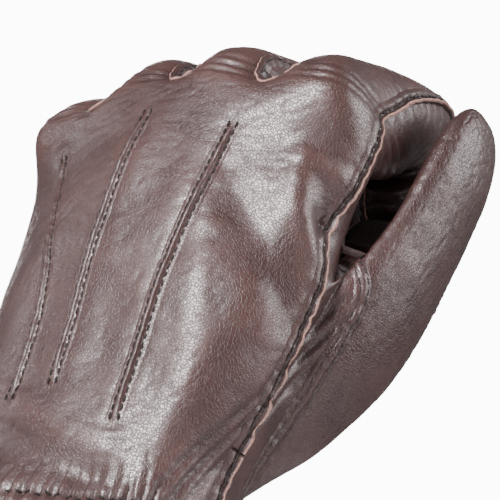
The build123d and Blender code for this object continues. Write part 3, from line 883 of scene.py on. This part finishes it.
leather = leatherOf("leather")
hemLeather = leatherOf("hem_leather")
padLeather = leatherOf("pad_leather")
thread = fabricOf("thread", (0.004, 0.0025, 0.0022), (0.014, 0.009, 0.008), 0.42, 0.8, 0.6)
liningKnit = fabricOf("lining_knit", (0.020, 0.013, 0.011), (0.055, 0.038, 0.033), 1.1, 0.0, 0.9, 0.4)
elasticWeave = fabricOf("elastic_weave", (0.03, 0.03, 0.03), (0.09, 0.085, 0.08), 0.9, 0.0, 0.85, 0.2)
rawEdge, tree, shader = shaderOf("raw_edge")
group = tree.nodes.new("ShaderNodeGroup")
group.node_tree = grain
group.inputs["Pebble"].default_value = 0.35
tone = ramp(tree, group.outputs["Pore"], 0.3, 0.7)
tree.links.new(mixColours(tree, tone, (0.10, 0.050, 0.040), (0.36, 0.22, 0.18)), shader.inputs["Base Color"])
shader.inputs["Roughness"].default_value = 0.85
bumped(tree, shader, group.outputs["Height"])
print("materials made")

# The skin's pieces
skin.vertices.foreach_set("co", (worn.points * mm).ravel())
attribute = skin.attributes.new("wear", "FLOAT", "POINT")
attribute.data.foreach_set("value", wear)
for layer in cageLayers:
    if layer in skin.attributes:
        skin.attributes.remove(skin.attributes[layer])
source = bmesh.new()
source.from_mesh(skin)
source.verts.ensure_lookup_table()
source.verts.layers.int.new("was")
keep = source.verts.layers.int.get("was")
for v in source.verts:
    v[keep] = v.index
for part in parts:
    bm = source.copy()
    was = bm.verts.layers.int.get("was")
    bmesh.ops.delete(bm, geom=[f for f in bm.faces if f.material_index != part], context="FACES")
    ids = np.array([v[was] for v in bm.verts])
    for f in bm.faces:
        f.material_index = 0
    mesh = bpy.data.meshes.new(partName[part] + "_leather")
    bm.to_mesh(mesh)
    bm.free()
    mesh.attributes.remove(mesh.attributes["was"])
    mesh.materials.append(leather)
    mesh.normals_split_custom_set_from_vertices(worn.normals[ids].tolist())
    placePiece(bpy.data.objects.new(mesh.name, mesh), part)
source.free()

for part in parts:
    name = partName[part]
    if len(welts[part].faces):
        mesh = meshFrom(welts[part], name + "_seams", (leather, rawEdge))
        attribute = mesh.attributes.new("wear", "FLOAT", "POINT")
        attribute.data.foreach_set("value", [0.62] * len(mesh.vertices))
        placePiece(bpy.data.objects.new(mesh.name, mesh), part)
    if len(threads[part].faces):
        for f in threads[part].faces:
            f.smooth = True
        mesh = meshFrom(threads[part], name + "_stitches", (thread,))
        placePiece(bpy.data.objects.new(mesh.name, mesh), part)

# Lining inside the hand, the turned hem and the elastic: copies of the skin's wall set inwards
inside = {
    "lining": {"depth": 1.9, "from": 12.0, "to": 118.0},
    "elastic": {"depth": 1.2, "height": gatherHeight, "width": 10.0, "thickness": 0.6, "side": -2.0},
    "thumbHole": {"from": 58.0, "side": 8.0},  # the palm has no inner wall beyond these
}


def leftOut(face, low, high, backOnly):
    middle = face.calc_center_median()
    hole = inside["thumbHole"]
    return (face.material_index not in (trunk, cuff) or not low * mm <= middle.z <= high * mm
            or (backOnly and middle.y > inside["elastic"]["side"] * mm)
            or (middle.z > hole["from"] * mm and middle.x > hole["side"] * mm and middle.y > 0))


def wallCopy(depth, low, high, backOnly=False):
    bm = bmesh.new()
    bm.from_mesh(skin)
    bmesh.ops.delete(bm, geom=[f for f in bm.faces if leftOut(f, low, high, backOnly)], context="FACES")
    bm.verts.ensure_lookup_table()
    bmesh.ops.recalc_face_normals(bm, faces=bm.faces)
    for v in bm.verts:
        spot, normal, part = worn.at(v.co / mm)
        v.co = (spot - normal * depth) * mm
    for f in bm.faces:
        f.material_index = 0
    return bm


bm = wallCopy(inside["lining"]["depth"], inside["lining"]["from"], inside["lining"]["to"])
bmesh.ops.reverse_faces(bm, faces=bm.faces)
mesh = bpy.data.meshes.new("hand_knit_lining")
bm.to_mesh(mesh)
bm.free()
mesh.materials.append(liningKnit)
lining = bpy.data.objects.new("hand_knit_lining", mesh)
bpy.context.scene.collection.objects.link(lining)
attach(lining, "hand")

# Hem: the edge of the leather is turned up inside the cuff; its section is (inwards, height) in mm
rim = [p for p in plain.points[np.abs(plain.points[:, 2] - plain.points[:, 2].min()) < 0.05]]
centre = np.mean(rim, axis=0)
rim.sort(key=lambda p: np.arctan2(p[1] - centre[1], p[0] - centre[0]))
rim = resampled([Vector(p) for p in rim] + [Vector(rim[0])], 0.9)
hemProfile = [(0.0, 1.2), (0.06, 0.4), (0.35, -0.15), (0.8, -0.35), (1.25, -0.15), (1.55, 0.4), (1.60, 1.4),
              (1.5, 4.0), (1.45, 8.0), (1.45, 12.6), (1.5, 13.6), (1.75, 13.9), (2.0, 13.7), (2.1, 12.6)]
bm = bmesh.new()
nx, ny = len(rim) - 1, len(hemProfile) - 1
made = bmesh.ops.create_grid(bm, x_segments=nx, y_segments=ny, size=1.0)["verts"]
for v in made:
    i, j = round((v.co.x + 1) / 2 * nx), round((v.co.y + 1) / 2 * ny)
    depth, high = hemProfile[j]
    spot, normal, part = worn.at(rim[i] + Vector((0, 0, max(high, 0.4))))
    flat = Vector((normal.x, normal.y, 0)).normalized()
    base = spot - flat * depth
    v.co = Vector((base.x, base.y, (0.8 + high if high < 0.4 else base.z)))
bmesh.ops.remove_doubles(bm, verts=bm.verts, dist=0.02)
bmesh.ops.recalc_face_normals(bm, faces=bm.faces)
for f in bm.faces:
    f.smooth = True
mesh = meshFrom(bm, "turned_hem", (hemLeather,))
hemPiece = bpy.data.objects.new("turned_hem", mesh)
bpy.context.scene.collection.objects.link(hemPiece)
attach(hemPiece, "hand")

elastic = inside["elastic"]
half = elastic["width"] / 2
bm = wallCopy(elastic["depth"], elastic["height"] - half, elastic["height"] + half, True)
bmesh.ops.solidify(bm, geom=bm.faces[:], thickness=elastic["thickness"] * mm)
mesh = bpy.data.meshes.new("wrist_band")
bm.to_mesh(mesh)
bm.free()
mesh.materials.append(elasticWeave)
band = bpy.data.objects.new("wrist_band", mesh)
bpy.context.scene.collection.objects.link(band)
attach(band, "hand")

# Touch pads: thin rounded patches over the index finger's and thumb's tips
pad = {"length": 12.0, "width": 10.0, "rise": 0.45}


def touchPad(name, part, centre, ahead, outward):
    bm = bmesh.new()
    bmesh.ops.create_grid(bm, x_segments=16, y_segments=14, size=1.0)
    side = ahead.cross(outward).normalized()
    for v in bm.verts:
        u, w = v.co.x, v.co.y
        edge = max(abs(u), abs(w))
        u, w = u * (1 - 0.18 * w * w), w * (1 - 0.18 * u * u)
        start = centre + ahead * (u * pad["length"] / 2) + side * (w * pad["width"] / 2)
        q, n, _ = worn.at(worn.tree.ray_cast(start, outward)[0] or start)
        v.co = q + n * (pad["rise"] if edge < 0.9 else pad["rise"] * 0.85 if edge < 0.99 else -0.2)
    for f in bm.faces:
        f.smooth = True
        f.normal_update()
    if sum(f.normal.dot(outward) for f in bm.faces) < 0:
        bmesh.ops.reverse_faces(bm, faces=bm.faces)
    mesh = meshFrom(bm, name, (padLeather,))
    return placePiece(bpy.data.objects.new(name, mesh), part)


last = fist["row"] + fist["middle"] + fist["tip"]
a, o = bent(last)
indexPad = touchPad("index_pad", 20, jointAt("index_tip_bend") + a * 14, a, -o)
thumbPad = touchPad("thumb_pad", thumbTip, Vector((53, 29.5, 164)), Vector((0.20, 0, 1)).normalized(),
                    Vector((-1, 0, 0.15)))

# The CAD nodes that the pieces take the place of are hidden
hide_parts("back_panel", "palm_panel", "knuckle_back", "knuckle_palm", "knuckle_lining",
            "fourchette_index_middle", "fourchette_middle_ring", "fourchette_ring_little")
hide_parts("cuff_hem")
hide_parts("wrist_elastic")
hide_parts("hand_lining")
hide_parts("point_index", "point_middle", "point_ring")
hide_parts("side_seam_thread")
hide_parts("wrist_gather_thread")
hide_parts("thumb_outer_base", "thumb_inner_base", "thumb_lining_base")
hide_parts("thumb_outer_tip", "thumb_inner_tip", "thumb_lining_tip")
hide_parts("index_touch_pad")
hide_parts("thumb_touch_pad")
for n, name in enumerate(fingers):
    for number, where in ((10 + n, "middle"), (20 + n, "tip")):
        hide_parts(*(f"{name}_{k}_{where}" for k in ("back", "palm", "fourchette", "lining")))
print("cad nodes replaced")

# Camera: it looks up at the target from below; distance, lens and target are in mm
view = {"azimuth": 35.73, "elevation": -31.2, "roll": 16.81, "distance": 710.0, "lens": 232.92,
        "target": (20.237, 3.207, 120.573)}
cameraData = bpy.data.cameras.new("camera")
cameraData.lens, cameraData.sensor_width = view["lens"], 36.0
camera = bpy.data.objects.new("camera", cameraData)
bpy.context.scene.collection.objects.link(camera)
a, e = radians(view["azimuth"]), radians(view["elevation"])
back = Vector((sin(a) * cos(e), -cos(a) * cos(e), sin(e)))
camera.rotation_mode = "QUATERNION"
camera.location = (Vector(view["target"]) + back * view["distance"]) * mm
turn = (-back).to_track_quat("-Z", "Y").to_matrix() @ Matrix.Rotation(radians(view["roll"]), 3, "Z")
camera.rotation_quaternion = turn.to_quaternion()
bpy.context.scene.camera = camera

# Studio: a pale floor that is clear from below, softboxes as (place, power, size) and an even pale world
studio = {"floor": 3.0, "tint": (1.0, 0.92, 0.93), "world": 0.26, "backdrop": 12.0,
          "boxes": [((0.02, -0.78, 0.40), 22.0, 0.26), ((-0.45, 0.60, 0.60), 9.0, 0.50),
                    ((0.66, 0.26, 0.62), 9.0, 0.5), ((-0.75, -0.30, 0.45), 1.5, 0.3)]}
floorMesh = bpy.data.meshes.new("floor")
bm = bmesh.new()
bmesh.ops.create_grid(bm, x_segments=1, y_segments=1, size=studio["floor"])
bm.to_mesh(floorMesh)
bm.free()
floor = bpy.data.objects.new("floor", floorMesh)
bpy.context.scene.collection.objects.link(floor)
pale, tree, shader = shaderOf("pale_floor")
shader.inputs["Base Color"].default_value = (0.85, 0.85, 0.85, 1)
shader.inputs["Roughness"].default_value = 0.8
clear = node(tree, "BsdfTransparent")
mix = node(tree, "MixShader", ((0, node(tree, "NewGeometry").outputs["Backfacing"]), (1, shader.outputs[0]),
                               (2, clear.outputs[0])))
tree.links.new(mix.outputs[0], tree.nodes["Material Output"].inputs[0])
floorMesh.materials.append(pale)
for place, power, size in studio["boxes"]:
    light = bpy.data.lights.new("softbox", "AREA")
    light.energy, light.size, light.color = power, size, studio["tint"]
    made = bpy.data.objects.new("softbox", light)
    made.location = place
    made.rotation_mode = "QUATERNION"
    made.rotation_quaternion = (-(Vector(place) - Vector((0, 0, 0.11)))).to_track_quat("-Z", "Y")
    bpy.context.scene.collection.objects.link(made)
world = bpy.data.worlds.new("studio")
bpy.context.scene.world = world
world.use_nodes = True
tree = world.node_tree
even = tree.nodes["Background"]
even.inputs[0].default_value = (*studio["tint"], 1)
even.inputs[1].default_value = studio["world"]
bright = node(tree, "Background", ((0, (1, 1, 1, 1)), (1, studio["backdrop"])))
seen = node(tree, "MixShader", ((0, node(tree, "LightPath").outputs["Is Camera Ray"]), (1, even.outputs[0]),
                                (2, bright.outputs[0])))
tree.links.new(seen.outputs[0], tree.nodes["World Output"].inputs[0])
print("studio lit")
